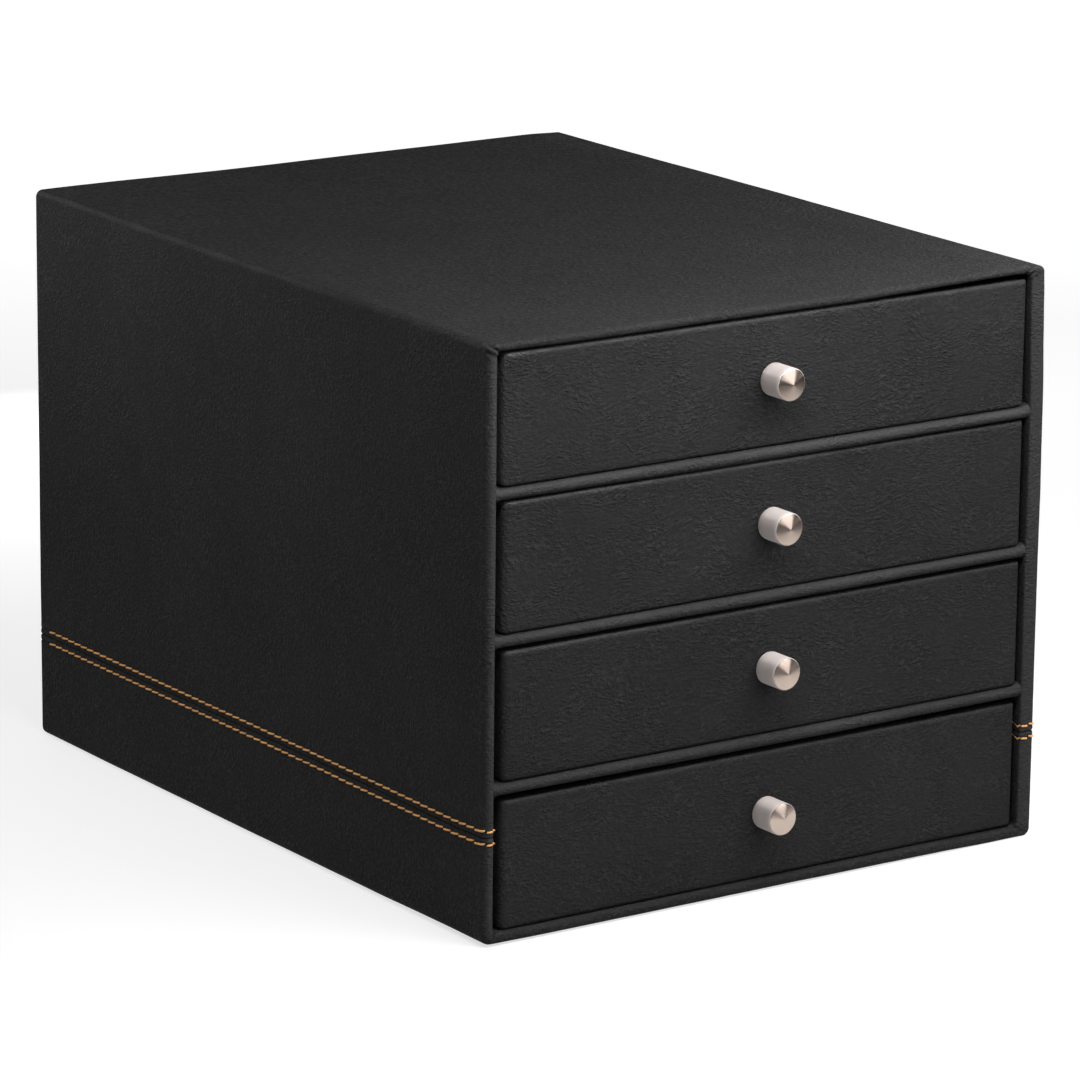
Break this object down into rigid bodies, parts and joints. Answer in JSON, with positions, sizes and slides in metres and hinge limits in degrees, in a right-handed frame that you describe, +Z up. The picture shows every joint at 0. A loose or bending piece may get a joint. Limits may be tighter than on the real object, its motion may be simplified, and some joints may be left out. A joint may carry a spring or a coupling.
{
  "type": "desktop mini drawers",
  "caption": "Small desktop chest of pull-out drawers: board case wrapped in sewn black leatherette, round metal knobs.",
  "frame": {"origin": "middle of the base, on the surface the box stands on", "axes": "+X to the right seen from the front, +Y to the back, +Z up; the drawers open towards -Y"},
  "size_m": [0.2002, 0.2632, 0.1769],
  "materials": {
    "leatherette": "fine pebbled grain, semi-matte",
    "board": "grey pasteboard, raw",
    "lining": "black paper, matte",
    "thread": "tan polyester sewing thread, slight sheen",
    "knob_metal": "satin turned, brushed rings on the face",
    "fastener_steel": "zinc plated"
  },
  "bodies": {
    "case": {"top_board": "board", "bottom_board": "board", "left_board": "board", "right_board": "board", "back_board": "board", "case_lining": "lining", "upper_cover": "leatherette", "lower_cover": "leatherette", "left_stitching": "thread", "right_stitching": "thread", "back_sheet": "leatherette", "base_sheet": "lining", "upper_shelf_board": "board", "middle_shelf_board": "board", "lower_shelf_board": "board", "upper_shelf_cover": "leatherette", "middle_shelf_cover": "leatherette", "lower_shelf_cover": "leatherette"},
    "drawer_1": {"drawer_1_front_board": "board", "drawer_1_back_board": "board", "drawer_1_left_board": "board", "drawer_1_right_board": "board", "drawer_1_bottom_board": "board", "drawer_1_cover": "leatherette", "drawer_1_lining": "lining", "drawer_1_knob": "knob_metal", "drawer_1_screw": "fastener_steel", "drawer_1_washer": "fastener_steel"},
    "drawer_2": {"drawer_2_front_board": "board", "drawer_2_back_board": "board", "drawer_2_left_board": "board", "drawer_2_right_board": "board", "drawer_2_bottom_board": "board", "drawer_2_cover": "leatherette", "drawer_2_lining": "lining", "drawer_2_knob": "knob_metal", "drawer_2_screw": "fastener_steel", "drawer_2_washer": "fastener_steel"},
    "drawer_3": {"drawer_3_front_board": "board", "drawer_3_back_board": "board", "drawer_3_left_board": "board", "drawer_3_right_board": "board", "drawer_3_bottom_board": "board", "drawer_3_cover": "leatherette", "drawer_3_lining": "lining", "drawer_3_knob": "knob_metal", "drawer_3_screw": "fastener_steel", "drawer_3_washer": "fastener_steel"},
    "drawer_4": {"drawer_4_front_board": "board", "drawer_4_back_board": "board", "drawer_4_left_board": "board", "drawer_4_right_board": "board", "drawer_4_bottom_board": "board", "drawer_4_cover": "leatherette", "drawer_4_lining": "lining", "drawer_4_knob": "knob_metal", "drawer_4_screw": "fastener_steel", "drawer_4_washer": "fastener_steel"}
  },
  "joints": [
    {"name": "drawer_1_slide", "type": "slide", "parent": "case", "child": "drawer_1", "axis": [0, -1, 0], "range_m": [0, 0.2]},
    {"name": "drawer_2_slide", "type": "slide", "parent": "case", "child": "drawer_2", "axis": [0, -1, 0], "range_m": [0, 0.2]},
    {"name": "drawer_3_slide", "type": "slide", "parent": "case", "child": "drawer_3", "axis": [0, -1, 0], "range_m": [0, 0.2]},
    {"name": "drawer_4_slide", "type": "slide", "parent": "case", "child": "drawer_4", "axis": [0, -1, 0], "range_m": [0, 0.2]}
  ]
}
